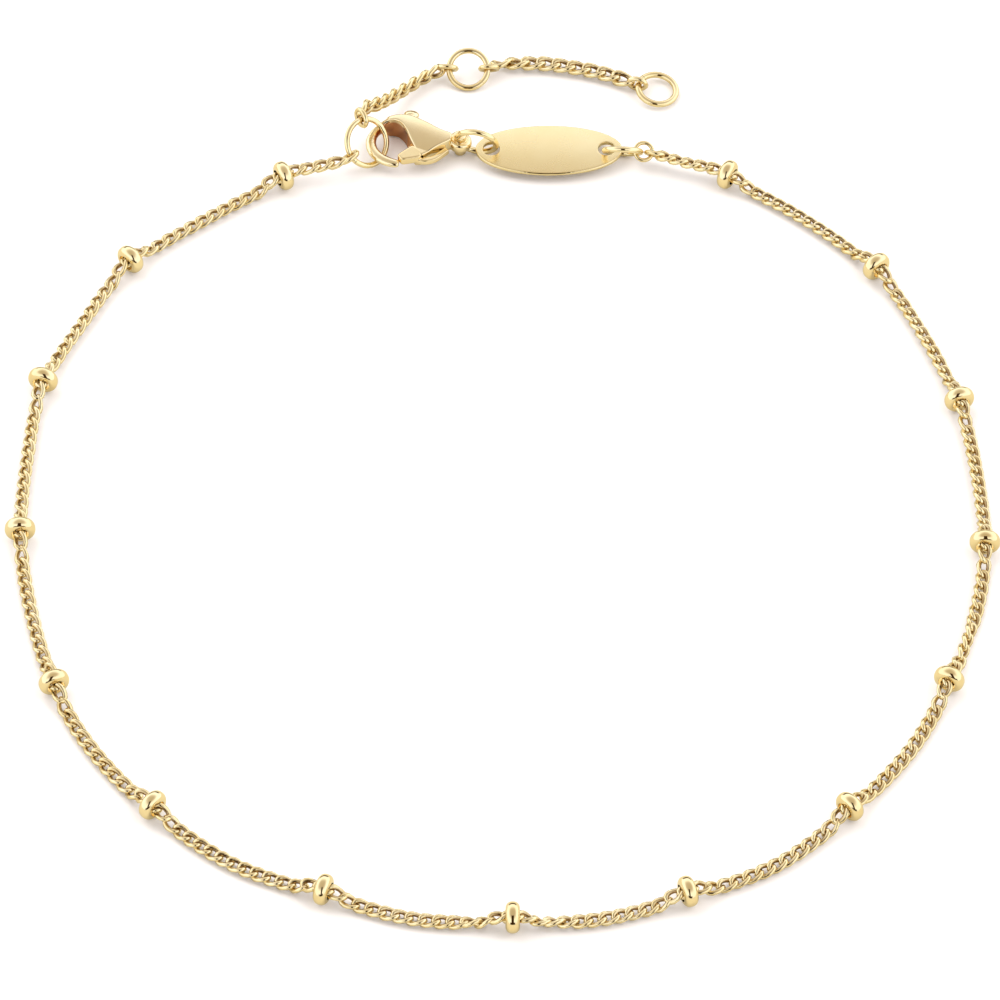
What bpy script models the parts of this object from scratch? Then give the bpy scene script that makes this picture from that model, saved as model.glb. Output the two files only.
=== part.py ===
# Chain anklet lying on a flat surface, as one assembly of named pieces.
# Built in metres with +Z up. The closed loop lies round the Z axis, the clasp is on the +Y side,
# and the underside of the lowest pieces is at Z = 0.
import math

import bmesh
import bpy
import numpy as np
from mathutils import Matrix, Vector

mm = 0.001

# Fine curb chain
chain_diameter = 0.92 * mm  # the round envelope of the links between two beads
link_pitch = 1.0 * mm
link_width = 1.1 * mm
link_wire = 0.33 * mm
link_twist = math.radians(45.0)  # each end of a link is turned this far from its middle
end_link_width = 1.5 * mm  # the plain link that hooks a ring is a little wider than the others
link_play = 0.15 * mm  # between a ring's wire and the end of the link that hooks it
link_sides = 12
link_wire_sides = 5
solder_overlap = 0.07 * mm  # how far neighbouring link wires run into each other where they are fused
tube_level = 0.75 * mm  # half the level stretch of the tube inside each bead

# Rondelle beads, each threaded on the chain
bead_diameter = 2.35 * mm
bead_thickness = 0.98 * mm
bead_hole = 1.3 * mm
bead_sides = 12
bead_belly = 0.75  # share of the bead's wall that bulges
bead_belly_power = 0.8  # under 1 makes the belly squarer than a circle
bead_lip = 0.06 * mm  # chamfer at each end of the hole
bead_slope_length = 2.4 * mm  # how far from a bead's middle the chain starts to rise into it

# Split rings: outer diameter and wire
ring_wire = 0.44 * mm
clasp_ring_diameter = 4.05 * mm
tag_ring_diameter = 3.5 * mm
chain_ring_diameter = 3.25 * mm
extender_ring_diameter = 3.45 * mm
round_link_diameter = 1.64 * mm
round_link_wire = 0.26 * mm
ring_sides = 16
ring_wire_sides = 6

# Oval tag with one hole at each end
tag_length = 11.4 * mm
tag_width = 5.0 * mm
tag_thickness = 0.4 * mm
tag_hole = 1.36 * mm
tag_hole_inset = 1.23 * mm  # from each end of the tag to the middle of its hole
tag_edge = 0.08 * mm
tag_sides = 48
tag_underside = 0.66 * mm  # height at which the two split rings under it hold it

# Lobster clasp, lying on its side
clasp_length = 8.0 * mm
clasp_width = 4.6 * mm
clasp_height = 2.1 * mm
clasp_plate = 0.3 * mm  # cheek left over and under the lever's slot
clasp_edge = 0.16 * mm
claw_width = 0.74 * mm
claw_height = 0.95 * mm
claw_middle = 1.2 * mm  # height of the hook's middle above the surface
eye_diameter = 1.76 * mm
eye_hole = 1.16 * mm
eye_height = 0.8 * mm
eye_middle = 1.15 * mm
eye_edge = 0.1 * mm
neck_width = 0.72 * mm
neck_inset = 0.05 * mm
nub_diameter = 0.94 * mm
nub_stem_diameter = 0.86 * mm
lever_gap = 0.1 * mm
pin_diameter = 0.44 * mm
pin_gap = 0.1 * mm
boss_diameter = 0.9 * mm
gate_height = 0.72 * mm
gate_edge = 0.1 * mm
web_inset = 0.1 * mm
lever_tab_thickness = 0.25 * mm
lever_tab_height = 0.5 * mm
lever_tab_low = 0.85 * mm
lever_tab_edge = 0.06 * mm
tab_recess_height = 1.45 * mm  # under this the near side of the body is set back behind the thumb tab

# The chain's route in plan, in millimetres, from the clasp ring round to the tag's ring.
# A row marked "bead" carries a bead, and one marked "tag" is measured from the tag's far hole.
chain_route = [
    (-11.45, 32.43, ""),
    (-12.40, 32.00, ""),
    (-14.40, 31.55, ""),
    (-16.71, 30.98, "bead"),
    (-22.60, 27.15, ""),
    (-28.33, 22.50, "bead"),
    (-31.65, 16.95, ""),
    (-34.50, 10.67, "bead"),
    (-35.40, 3.70, ""),
    (-35.60, -3.64, "bead"),
    (-34.60, -10.45, ""),
    (-32.50, -17.74, "bead"),
    (-29.40, -23.55, ""),
    (-24.94, -28.73, "bead"),
    (-19.30, -33.30, ""),
    (-12.60, -36.05, "bead"),
    (-6.10, -38.15, ""),
    (0.85, -38.47, "bead"),
    (7.25, -38.15, ""),
    (13.38, -36.23, "bead"),
    (19.90, -33.40, ""),
    (25.15, -28.81, "bead"),
    (29.70, -23.40, ""),
    (32.73, -17.47, "bead"),
    (34.95, -11.10, ""),
    (35.92, -4.86, "bead"),
    (35.65, 2.00, ""),
    (34.60, 8.74, "bead"),
    (32.10, 15.70, ""),
    (28.80, 21.80, "bead"),
    (23.45, 27.10, ""),
    (17.56, 31.10, "bead"),
    (6.63, -1.80, "tag"),
    (4.93, -1.25, "tag"),
    (3.48, -0.75, "tag"),
]
chain_start_height = 1.72 * mm
chain_end_height = 1.36 * mm

# Routes of the two stretches of the extender, in millimetres: plan, height, and the link's roll in degrees
extender_first_route = [
    (-10.72, 35.09, 2.84, 95.0),
    (-10.72, 35.85, 2.95, 98.0),
    (-10.25, 36.70, 2.70, 108.0),
    (-9.55, 37.40, 2.20, 115.0),
    (-8.70, 38.50, 1.55, 118.0),
    (-7.70, 39.70, 1.08, 118.0),
    (-6.50, 40.90, 0.82, 120.0),
    (-5.15, 41.85, 0.82, 122.0),
    (-3.98, 42.20, 0.95, 110.0),
]
extender_second_route = [
    (-0.98, 42.20, 0.95, 105.0),
    (0.00, 42.75, 0.82, 125.0),
    (0.95, 43.02, 0.60, 150.0),
    (3.50, 43.02, 0.44, 180.0),
    (5.90, 42.60, 0.44, 180.0),
    (7.85, 42.10, 0.44, 180.0),
    (9.80, 41.28, 0.58, 155.0),
    (10.84, 40.80, 0.72, 130.0),
]

# Centres of the split rings in millimetres, and the elevation and bearing of their axes in degrees.
# The last two are measured in plan from the tag's far hole.
clasp_ring_place = (-10.33, 33.86, 1.72, 40.5, 46.5)
tag_ring_place = (-1.81, 33.92, 1.71, -13.0, -11.0)
middle_ring_place = (-2.48, 42.11, 0.95, 62.0, 0.0)
end_ring_place = (12.30, 40.40, 0.50, 82.0, 78.0)
chain_ring_offset = (1.24, -0.58, 1.38, -34.5, -3.0)
round_link_offset = (2.87, -0.58, 1.36, 55.0, 12.0)
tag_near_hole = (-0.67, 33.80)
pivot_place = (-5.60, 33.95)

# Plan outlines of the clasp about the lever's pivot, as shares of its length and width
body_outline = [
    (-0.385, 0.516),
    (-0.296, 0.545),
    (-0.175, 0.552),
    (-0.093, 0.482),
    (0.010, 0.360),
    (0.119, 0.225),
    (0.204, 0.165),
    (0.204, -0.050),
    (0.085, -0.135),
    (-0.050, -0.270),
    (-0.098, -0.280),
    (-0.150, -0.150),
    (-0.188, 0.000),
    (-0.214, 0.150),
    (-0.250, 0.285),
    (-0.305, 0.374),
    (-0.375, 0.410),
]
slot_outline = [
    (-0.340, -0.540),
    (-0.044, -0.540),
    (-0.044, -0.155),
    (0.000, -0.130),
    (0.070, -0.085),
    (0.078, 0.055),
    (0.035, 0.130),
    (-0.090, 0.130),
    (-0.340, 0.205),
]
tab_recess_outline = [
    (-0.044, -0.600),
    (0.300, -0.600),
    (0.300, -0.015),
    (0.204, -0.015),
    (0.100, -0.085),
    (-0.044, -0.180),
]
eye_centre = (0.319, 0.087)
neck_root = (0.160, 0.060)
nub_centre = (-0.162, 0.652)
nub_root = (-0.162, 0.462)
# The underside rises from the first place to the neck: plan shares and heights
keel = ((-0.020, 0.0), (0.210, 0.36))
# Claw sections: plan place, then width and height as shares of the claw's own, and height of the middle
claw_sections = [
    (-0.266, 0.470, 0.80, 1.80, 0.93),
    (-0.369, 0.467, 0.80, 1.68, 0.98),
    (-0.462, 0.415, 0.84, 1.28, 1.00),
    (-0.528, 0.265, 0.90, 1.02, 1.00),
    (-0.552, 0.070, 1.00, 1.00, 1.00),
    (-0.524, -0.115, 1.00, 1.00, 1.00),
    (-0.458, -0.245, 1.00, 1.00, 1.00),
    (-0.372, -0.330, 0.88, 0.97, 1.00),
    (-0.312, -0.358, 0.70, 0.86, 1.00),
    (-0.288, -0.362, 0.42, 0.55, 1.00),
]
# The claw's cross-section, as shares of its half width and half height
claw_shape = [(1, 0.55), (0.6, 1), (-0.6, 1), (-1, 0.55), (-1, -0.45), (-0.5, -1), (0.5, -1), (1, -0.45)]
gate_outline = [
    (-0.159, -0.068),
    (-0.282, -0.290),
    (-0.238, -0.392),
    (-0.066, -0.330),
    (-0.060, -0.180),
]
web_outline = [
    (-0.150, -0.070),
    (-0.130, -0.300),
    (-0.062, -0.300),
    (-0.060, -0.150),
    (0.010, -0.080),
    (0.000, 0.070),
]
# Middle line of the thumb tab, from its root to its free end
tab_line = [
    (-0.100, -0.310),
    (-0.010, -0.330),
    (0.065, -0.290),
    (0.130, -0.190),
    (0.187, -0.082),
]


def clear_scene():
    for item in list(bpy.data.objects):
        bpy.data.objects.remove(item, do_unlink=True)


def metal(name, colour, roughness):
    made = bpy.data.materials.new(name)
    made.use_nodes = True
    shader = made.node_tree.nodes["Principled BSDF"]
    shader.inputs["Base Color"].default_value = (*colour, 1.0)
    shader.inputs["Metallic"].default_value = 1.0
    shader.inputs["Roughness"].default_value = roughness
    return made


def add_object(name, mesh, material, smooth_angle=40.0):
    made = bpy.data.objects.new(name, mesh)
    bpy.context.collection.objects.link(made)
    mesh.materials.clear()
    mesh.materials.append(material)
    mesh.shade_smooth()
    mesh.set_sharp_from_angle(angle=math.radians(smooth_angle))
    return made


def mesh_from_bmesh(name, bm):
    bmesh.ops.recalc_face_normals(bm, faces=bm.faces)
    mesh = bpy.data.meshes.new(name)
    bm.to_mesh(mesh)
    bm.free()
    return mesh


def tube_loops(bm, loops, closed):
    """Skins a list of point loops; an open skin gets flat end faces."""
    rings = [[bm.verts.new(point) for point in loop] for loop in loops]
    count = len(rings[0])
    steps = len(rings) if closed else len(rings) - 1
    for i in range(steps):
        near = rings[i]
        far = rings[(i + 1) % len(rings)]
        for j in range(count):
            k = (j + 1) % count
            bm.faces.new((near[j], near[k], far[k], far[j]))
    if not closed:
        bm.faces.new(rings[0])
        bm.faces.new(rings[-1])


def smooth_route(points, count):
    """Evenly spaced points on a Catmull-Rom curve through the given rows of numbers."""
    rows = np.array(points, float)
    rows = np.vstack([2 * rows[0] - rows[1], rows, 2 * rows[-1] - rows[-2]])
    dense = []
    for i in range(1, len(rows) - 2):
        p0, p1, p2, p3 = rows[i - 1 : i + 3]
        for t in np.linspace(0.0, 1.0, 40, endpoint=False):
            dense.append(
                0.5 * (2 * p1 + (p2 - p0) * t + (2 * p0 - 5 * p1 + 4 * p2 - p3) * t**2
                       + (3 * p1 - p0 - 3 * p2 + p3) * t**3)
            )
    dense.append(rows[-2])
    dense = np.array(dense)
    steps = np.linalg.norm(np.diff(dense[:, :3], axis=0), axis=1)
    along = np.concatenate([[0.0], np.cumsum(steps)])
    even = np.linspace(0.0, along[-1], count)
    columns = [np.interp(even, along, dense[:, k]) for k in range(rows.shape[1])]
    return np.column_stack(columns), along[-1]


def frame_at(point, direction, roll=0.0):
    """A matrix whose X runs along the direction and whose Z points up before the roll."""
    x = Vector(direction).normalized()
    y = Vector((0.0, 0.0, 1.0)).cross(x).normalized()
    z = x.cross(y)
    turn = Matrix((x, y, z)).transposed().to_4x4()
    return Matrix.Translation(Vector(point)) @ turn @ Matrix.Rotation(roll, 4, "X")


def add_link(bm, place, length, width, wire, twist):
    """One link: an oval wire whose two ends are turned in opposite directions."""
    reach = (length - wire) / 2
    spread = (width - wire) / 2
    wire_reach = wire / 2 / math.cos(math.pi / link_wire_sides)
    middle = []
    for i in range(link_sides):
        angle = 2 * math.pi * (i + 0.5) / link_sides
        turn = twist * math.cos(angle)
        side = spread * math.sin(angle)
        middle.append(Vector((reach * math.cos(angle), side * math.cos(turn), -side * math.sin(turn))))
    loops = []
    for i, point in enumerate(middle):
        ahead = (middle[(i + 1) % link_sides] - middle[i - 1]).normalized()
        outward = (point - ahead * point.dot(ahead)).normalized()
        across = ahead.cross(outward)
        loop = []
        for j in range(link_wire_sides):
            around = 2 * math.pi * (j + 0.5) / link_wire_sides
            offset = outward * math.cos(around) + across * math.sin(around)
            loop.append(place @ (point + offset * wire_reach))
        loops.append(loop)
    tube_loops(bm, loops, closed=True)


def fuse(name, pieces, material):
    """Joins overlapping closed objects into one body with exact unions."""
    base = pieces[0]
    for other in pieces[1:]:
        union = base.modifiers.new("union", "BOOLEAN")
        union.operation = "UNION"
        union.solver = "EXACT"
        union.object = other
        apply_modifiers(base)
        bpy.data.objects.remove(other, do_unlink=True)
    base.name = name
    base.data.materials.clear()
    base.data.materials.append(material)
    base.data.shade_smooth()
    base.data.set_sharp_from_angle(angle=math.radians(40.0))
    return base


def cut(target, cutter):
    difference = target.modifiers.new("cut", "BOOLEAN")
    difference.operation = "DIFFERENCE"
    difference.solver = "EXACT"
    difference.object = cutter
    apply_modifiers(target)
    bpy.data.objects.remove(cutter, do_unlink=True)


def apply_modifiers(item):
    bpy.context.view_layer.update()
    graph = bpy.context.evaluated_depsgraph_get()
    mesh = bpy.data.meshes.new_from_object(item.evaluated_get(graph))
    item.modifiers.clear()
    item.data = mesh


def prism(name, outline, bottom, top, material, edge=0.0):
    """An upright solid over a plan outline, with its edges rounded by the given width."""
    bm = bmesh.new()
    low = [bm.verts.new((x, y, bottom)) for x, y in outline]
    bm.faces.new(low)
    raised = bmesh.ops.extrude_face_region(bm, geom=bm.faces[:])
    moved = [v for v in raised["geom"] if isinstance(v, bmesh.types.BMVert)]
    bmesh.ops.translate(bm, verts=moved, vec=(0.0, 0.0, top - bottom))
    made = add_object(name, mesh_from_bmesh(name, bm), material)
    if edge:
        rounding = made.modifiers.new("edge", "BEVEL")
        rounding.width = edge
        rounding.segments = 2
        rounding.limit_method = "ANGLE"
        rounding.angle_limit = math.radians(50.0)
        apply_modifiers(made)
    return made


def circle(centre, radius, sides):
    """Plan points of a regular outline whose flats lie at the radius."""
    reach = radius / math.cos(math.pi / sides)
    points = []
    for i in range(sides):
        angle = 2 * math.pi * i / sides
        points.append((centre[0] + reach * math.cos(angle), centre[1] + reach * math.sin(angle)))
    return points


def tag_hole_place(side):
    """The plan of a hole of the tag, 0 for the near one and 1 for the far one; the near one stays in place."""
    x, y = tag_near_hole
    return x * mm + side * (tag_length - 2 * tag_hole_inset), y * mm


def from_far_hole(offset):
    """A ring's place in millimetres, from its offset from the tag's far hole."""
    x, y = tag_hole_place(1)
    return (x / mm + offset[0], y / mm + offset[1], *offset[2:])


def in_clasp(share):
    return (pivot_place[0] * mm + share[0] * clasp_length, pivot_place[1] * mm + share[1] * clasp_width)


def ring_matrix(place):
    """Where a split ring lies: its axis has the given elevation, and a bearing of 0 faces -Y."""
    x, y, z, elevation, bearing = place
    up, side = math.radians(elevation), math.radians(bearing)
    axis = Vector((math.cos(up) * math.sin(side), -math.cos(up) * math.cos(side), math.sin(up)))
    level = Vector((math.cos(side), math.sin(side), 0.0))
    turn = Matrix((level, axis.cross(level), axis)).transposed().to_4x4()
    return Matrix.Translation(Vector((x, y, z)) * mm) @ turn


def make_ring(name, place, diameter, wire, sides, material):
    """A round wire ring; its wire's flats lie at the wire's real size."""
    bm = bmesh.new()
    where = ring_matrix(place)
    loops = []
    for i in range(sides):
        turn = Matrix.Rotation(2 * math.pi * i / sides, 4, "Z")
        loop = []
        for j in range(ring_wire_sides):
            around = 2 * math.pi * j / ring_wire_sides
            reach = (diameter - wire) / 2 + wire / 2 * math.cos(around)
            loop.append(where @ turn @ Vector((reach, 0.0, wire / 2 * math.sin(around))))
        loops.append(loop)
    tube_loops(bm, loops, closed=True)
    return add_object(name, mesh_from_bmesh(name, bm), material)


def hook_on(place, diameter, ring_gauge, near, ahead):
    """Where a link hooks a ring: on the ring's wire nearest the given point, heading along the chain."""
    where = ring_matrix(place)
    inside = where.inverted() @ Vector(near)
    angle = math.atan2(inside.y, inside.x)
    reach = (diameter - ring_gauge) / 2
    seat = where @ (Vector((math.cos(angle), math.sin(angle), 0.0)) * reach)
    wire = where.to_3x3() @ Vector((-math.sin(angle), math.cos(angle), 0.0))
    x = (Vector(ahead) - wire * wire.dot(Vector(ahead))).normalized()
    turn = Matrix((x, wire.cross(x), wire)).transposed().to_4x4()
    centre = seat + x * (link_length() / 2 - link_wire - ring_gauge / 2 - link_play)
    return Matrix.Translation(centre) @ turn


def link_length():
    return link_pitch + 2 * link_wire - solder_overlap


def chain_line():
    """The chain's middle line with its heights, and the stations of its beads along it."""
    far_x, far_y = tag_hole_place(1)
    plan = []
    for x, y, kind in chain_route:
        if kind == "tag":
            plan.append((far_x + x * mm, far_y + y * mm, 0.0))
        else:
            plan.append((x * mm, y * mm, 0.0))
    line, length = smooth_route(plan, 1600)
    along = np.linspace(0.0, length, len(line))
    stations = []
    for (x, y, _), (_, _, kind) in zip(plan, chain_route):
        if kind == "bead":
            nearest = np.argmin(np.hypot(line[:, 0] - x, line[:, 1] - y))
            stations.append(along[nearest])
    flat = chain_diameter / 2
    raised = bead_diameter / 2
    for i, s in enumerate(along):
        near = min(abs(s - station) for station in stations)
        fall = min(max((near - tube_level) / (bead_slope_length - tube_level), 0.0), 1.0)
        height = raised + (flat - raised) * fall * fall * (3 - 2 * fall)
        if s < stations[0]:
            share = 1 - s / stations[0]
            height = raised + (chain_start_height - raised) * share
        if s > stations[-1]:
            share = (s - stations[-1]) / (length - stations[-1])
            height = raised + (chain_end_height - raised) * share
        line[i, 2] = height
    return line, along, stations


def point_on(line, along, s):
    return Vector([float(np.interp(s, along, line[:, k])) for k in range(3)])


def tube_stations(stations, first, last):
    """Where the chain's tube has its points: close together at each bead, and wider apart between beads."""
    found = [first, last]
    for i, station in enumerate(stations):
        found += [station - tube_level, station + tube_level]
        if i > 0:
            found.append(station - bead_slope_length)
        if i + 1 < len(stations):
            found += [station + bead_slope_length, (station + stations[i + 1]) / 2]
    found += [(first + stations[0]) / 2, (last + stations[-1]) / 2]
    return sorted(found)


def make_chain(line, along, stations, material):
    """The chain's envelope as a round tube, with a real link fused to each end of it."""
    length = along[-1]
    tube_start = link_length() - 2 * link_wire - ring_wire / 2
    first, last = tube_start, length - tube_start
    curve = bpy.data.curves.new("chain_tube", "CURVE")
    curve.dimensions = "3D"
    curve.bevel_depth = chain_diameter / 2
    curve.bevel_resolution = 2
    curve.use_fill_caps = True
    spline = curve.splines.new("POLY")
    places = tube_stations(stations, first, last)
    spline.points.add(len(places) - 1)
    for point, s in zip(spline.points, places):
        point.co = (*point_on(line, along, s), 1.0)
    guide = bpy.data.objects.new("chain_tube", curve)
    bpy.context.collection.objects.link(guide)
    bpy.context.view_layer.update()
    graph = bpy.context.evaluated_depsgraph_get()
    tube_mesh = bpy.data.meshes.new_from_object(guide.evaluated_get(graph))
    bpy.data.objects.remove(guide, do_unlink=True)
    bm = bmesh.new()
    bm.from_mesh(tube_mesh)
    bmesh.ops.remove_doubles(bm, verts=bm.verts, dist=0.0001 * mm)
    pieces = [add_object("chain_tube", mesh_from_bmesh("chain_tube", bm), material)]
    ends = (
        (clasp_ring_place, clasp_ring_diameter, ring_wire, 0.0, first),
        (from_far_hole(round_link_offset), round_link_diameter, round_link_wire, length, last),
    )
    for place, diameter, gauge, end, tube_end in ends:
        start = point_on(line, along, end)
        ahead = point_on(line, along, tube_end) - start
        seat = hook_on(place, diameter, gauge, start, ahead)
        bm = bmesh.new()
        add_link(bm, seat, link_length(), end_link_width, link_wire, 0.0)
        pieces.append(add_object("end_link", mesh_from_bmesh("end_link", bm), material))
    return fuse("chain", pieces, material)


def bead_mesh():
    """A turned rondelle with a round belly and a straight hole, its axis along X."""
    half = bead_thickness / 2
    outer = bead_diameter / 2
    hole = bead_hole / 2
    belly = (outer - hole) * bead_belly
    profile = [(-half + bead_lip, hole), (-half, hole + bead_lip), (-half, outer - belly)]
    for angle in np.linspace(-60.0, 60.0, 5):
        bulge = math.cos(math.radians(angle)) ** bead_belly_power
        profile.append((half * math.sin(math.radians(angle)), outer - belly + belly * bulge))
    profile += [(half, outer - belly), (half, hole + bead_lip), (half - bead_lip, hole)]
    bm = bmesh.new()
    loops = []
    for i in range(bead_sides):
        angle = 2 * math.pi * i / bead_sides
        grow = 1.0 / math.cos(math.pi / bead_sides)
        loops.append([(x, r * grow * math.cos(angle), r * grow * math.sin(angle)) for x, r in profile])
    tube_loops(bm, loops, closed=True)
    return mesh_from_bmesh("bead", bm)


def make_beads(line, along, stations, material):
    for number, station in enumerate(stations, 1):
        behind = point_on(line, along, station - tube_level)
        ahead = point_on(line, along, station + tube_level)
        place = (behind + ahead) / 2
        place.z = bead_diameter / 2
        bead = add_object(f"bead_{number:02d}", bead_mesh(), material)
        bead.matrix_world = frame_at(place, Vector((ahead.x - behind.x, ahead.y - behind.y, 0.0)))


def make_link_run(name, route, first_ring, last_ring, material):
    """A short stretch of curb chain whose links are fused, with a plain link round a ring at each end."""
    rows = [(x * mm, y * mm, z * mm, roll) for x, y, z, roll in route]
    line, length = smooth_route(rows, 400)
    along = np.linspace(0.0, length, len(line))
    seat = link_length() / 2 - link_wire - ring_wire / 2 - link_play
    count = round((length - 2 * seat) / link_pitch)
    pitch = (length - 2 * seat) / count
    pieces = []
    for ring, end, inward in ((first_ring, 0.0, seat + pitch), (last_ring, length, length - seat - pitch)):
        start = point_on(line, along, end)
        bm = bmesh.new()
        place = hook_on(*ring, start, point_on(line, along, inward) - start)
        add_link(bm, place, link_length(), end_link_width, link_wire, 0.0)
        pieces.append(add_object("end_link", mesh_from_bmesh("end_link", bm), material))
    for i in range(1, count):
        s = seat + pitch * i
        ahead = point_on(line, along, s + pitch / 3) - point_on(line, along, s - pitch / 3)
        roll = math.radians(float(np.interp(s, along, line[:, 3])))
        place = frame_at(point_on(line, along, s), ahead, roll)
        bm = bmesh.new()
        add_link(bm, place, pitch + 2 * link_wire - solder_overlap, link_width, link_wire, link_twist)
        pieces.insert(i, add_object("link", mesh_from_bmesh("link", bm), material))
    return fuse(name, pieces, material)


def make_tag(material):
    middle_x = (tag_hole_place(0)[0] + tag_hole_place(1)[0]) / 2
    middle_y = tag_near_hole[1] * mm
    outline = []
    for i in range(tag_sides):
        angle = 2 * math.pi * i / tag_sides
        outline.append((middle_x + tag_length / 2 * math.cos(angle), middle_y + tag_width / 2 * math.sin(angle)))
    tag = prism("tag", outline, tag_underside, tag_underside + tag_thickness, material, tag_edge)
    for side in (0, 1):
        outline = circle(tag_hole_place(side), tag_hole / 2, ring_sides)
        cut(tag, prism("hole", outline, 0.0, tag_underside + 2 * tag_thickness, material))
    return fuse("tag", [tag], material)


def claw(material):
    """The hook, as a bar with clipped corners swept along its bent middle line."""
    centres = [Vector((*in_clasp(row[:2]), claw_middle * row[4])) for row in claw_sections]
    bm = bmesh.new()
    loops = []
    for i, row in enumerate(claw_sections):
        behind = centres[max(i - 1, 0)]
        ahead = centres[min(i + 1, len(centres) - 1)]
        along = ahead - behind
        along.z = 0.0
        along.normalize()
        out = Vector((along.y, -along.x, 0.0))
        half_width = claw_width * row[2] / 2
        half_height = claw_height * row[3] / 2
        loop = []
        for u, v in claw_shape:
            loop.append(centres[i] + out * half_width * u + Vector((0.0, 0.0, half_height * v)))
        loops.append(loop)
    tube_loops(bm, loops, closed=False)
    return add_object("claw", mesh_from_bmesh("claw", bm), material)


def keel_cutter(material):
    """A wedge under the body, which lifts its underside toward the neck."""
    (near_x, near_height), (far_x, far_height) = keel
    near = in_clasp((near_x, 0.0))[0]
    far = in_clasp((far_x, 0.0))[0]
    side = clasp_width
    bm = bmesh.new()
    loops = []
    under = -clasp_height
    for y in (pivot_place[1] * mm - side, pivot_place[1] * mm + side):
        loops.append([(near, y, under), (far, y, under), (far, y, far_height * clasp_height), (near, y, near_height)])
    tube_loops(bm, loops, closed=False)
    return add_object("keel", mesh_from_bmesh("keel", bm), material)


def make_clasp_body(material):
    body = prism("body", [in_clasp(p) for p in body_outline], 0.0, clasp_height, material, clasp_edge)
    slot_top = clasp_height - clasp_plate
    cut(body, prism("slot", [in_clasp(p) for p in slot_outline], clasp_plate, slot_top, material))
    recess = [in_clasp(p) for p in tab_recess_outline]
    cut(body, prism("recess", recess, -clasp_plate, tab_recess_height, material))
    cut(body, keel_cutter(material))
    low = eye_middle - eye_height / 2
    ring = circle(in_clasp(eye_centre), eye_diameter / 2, ring_sides)
    eye = prism("eye", ring, low, low + eye_height, material, eye_edge)
    near, far = in_clasp(neck_root), in_clasp(eye_centre)
    half = neck_width / 2
    bar = [(near[0], near[1] - half), (far[0], far[1] - half), (far[0], far[1] + half), (near[0], near[1] + half)]
    neck_bar = prism("neck", bar, low + neck_inset, low + eye_height - neck_inset, material)
    bm = bmesh.new()
    bmesh.ops.create_uvsphere(bm, u_segments=12, v_segments=8, radius=nub_diameter / 2)
    knob = Matrix.Translation(Vector((*in_clasp(nub_centre), claw_middle)))
    bmesh.ops.transform(bm, matrix=knob, verts=bm.verts)
    nub = add_object("nub", mesh_from_bmesh("nub", bm), material)
    bm = bmesh.new()
    stem_length = (nub_centre[1] - nub_root[1]) * clasp_width
    radius = nub_stem_diameter / 2
    bmesh.ops.create_cone(bm, cap_ends=True, segments=12, radius1=radius, radius2=radius, depth=stem_length)
    lay = Matrix.Rotation(math.radians(90.0), 4, "X")
    halfway = in_clasp((nub_centre[0], (nub_centre[1] + nub_root[1]) / 2))
    stand = Matrix.Translation(Vector((*halfway, claw_middle)))
    bmesh.ops.transform(bm, matrix=stand @ lay, verts=bm.verts)
    stem = add_object("stem", mesh_from_bmesh("stem", bm), material)
    clasp = fuse("clasp_body", [body, claw(material), eye, neck_bar, stem, nub], material)
    hole = circle(in_clasp(eye_centre), eye_hole / 2, link_sides)
    cut(clasp, prism("eye_hole", hole, 0.0, clasp_height, material))
    return fuse("clasp_body", [clasp], material)


def make_lever(material):
    low = clasp_plate + lever_gap
    high = clasp_height - clasp_plate - lever_gap
    pivot = in_clasp((0.0, 0.0))
    boss = prism("boss", circle(pivot, boss_diameter / 2, ring_sides), low, high, material)
    gate = prism("gate", [in_clasp(p) for p in gate_outline], high - gate_height, high, material, gate_edge)
    web = prism("web", [in_clasp(p) for p in web_outline], low + web_inset, high - web_inset, material)
    middle = [Vector((*in_clasp(p), 0.0)) for p in tab_line]
    outer, inner = [], []
    for i, point in enumerate(middle):
        along = (middle[min(i + 1, len(middle) - 1)] - middle[max(i - 1, 0)]).normalized()
        side = Vector((along.y, -along.x, 0.0)) * lever_tab_thickness / 2
        outer.append((point + side).to_tuple()[:2])
        inner.append((point - side).to_tuple()[:2])
    tab_top = lever_tab_low + lever_tab_height
    tab = prism("tab", outer + inner[::-1], lever_tab_low, tab_top, material, lever_tab_edge)
    lever = fuse("clasp_lever", [boss, gate, web, tab], material)
    bore = circle(pivot, pin_diameter / 2 + pin_gap, link_sides)
    cut(lever, prism("bore", bore, 0.0, clasp_height, material))
    lever = fuse("clasp_lever", [lever], material)
    shift = Matrix.Translation((-pivot[0], -pivot[1], 0.0))
    lever.data.transform(shift)
    lever.location = (*pivot, 0.0)
    low_pin = clasp_plate + pin_gap
    prism("clasp_pin", circle(pivot, pin_diameter / 2, link_sides), low_pin, clasp_height - low_pin, material)


def settle():
    """Puts the origin under the middle of the whole assembly, at the height of its lowest point."""
    bpy.context.view_layer.update()
    solids = [item for item in bpy.data.objects if item.type == "MESH"]
    points = np.array([item.matrix_world @ vertex.co for item in solids for vertex in item.data.vertices])
    middle = (points.min(axis=0) + points.max(axis=0)) / 2
    base = bpy.data.objects.new("anklet", None)
    bpy.context.collection.objects.link(base)
    for item in solids:
        item.parent = base
    base.location = (-middle[0], -middle[1], -points[:, 2].min())
    bpy.context.view_layer.update()
    print("moved by", [round(value / mm, 4) for value in base.location], "mm")


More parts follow.
